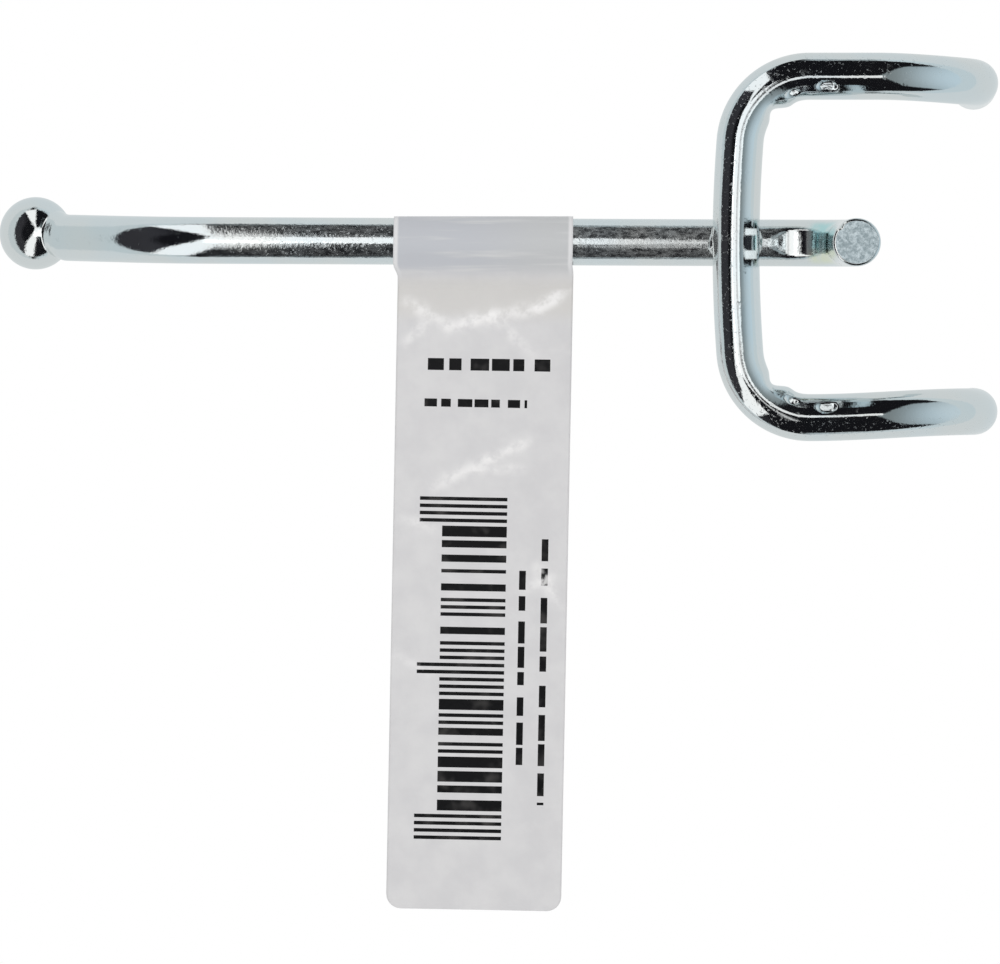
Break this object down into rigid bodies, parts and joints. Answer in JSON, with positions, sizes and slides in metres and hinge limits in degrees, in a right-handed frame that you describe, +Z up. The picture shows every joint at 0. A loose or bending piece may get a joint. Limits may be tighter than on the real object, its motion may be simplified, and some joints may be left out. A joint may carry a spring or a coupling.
{
  "type": "pegboard hook",
  "caption": "Wire pegboard hook: a U-shaped plated bracket with upturned prongs, a ball-ended arm welded across it and a folded film flag on the arm.",
  "frame": {"origin": "on the front face of the board, midway between the two legs and at the height of their axes", "axes": "+X along the board, +Y into the board, +Z up; the arm points along -Y and the prongs turn up"},
  "size_m": [0.0642, 0.0755, 0.0245],
  "materials": {
    "plated_wire": "bright zinc plate",
    "flag_film": "creased film"
  },
  "bodies": {
    "root": {"bracket": "plated_wire", "arm": "plated_wire", "label": "flag_film"}
  },
  "joints": []
}
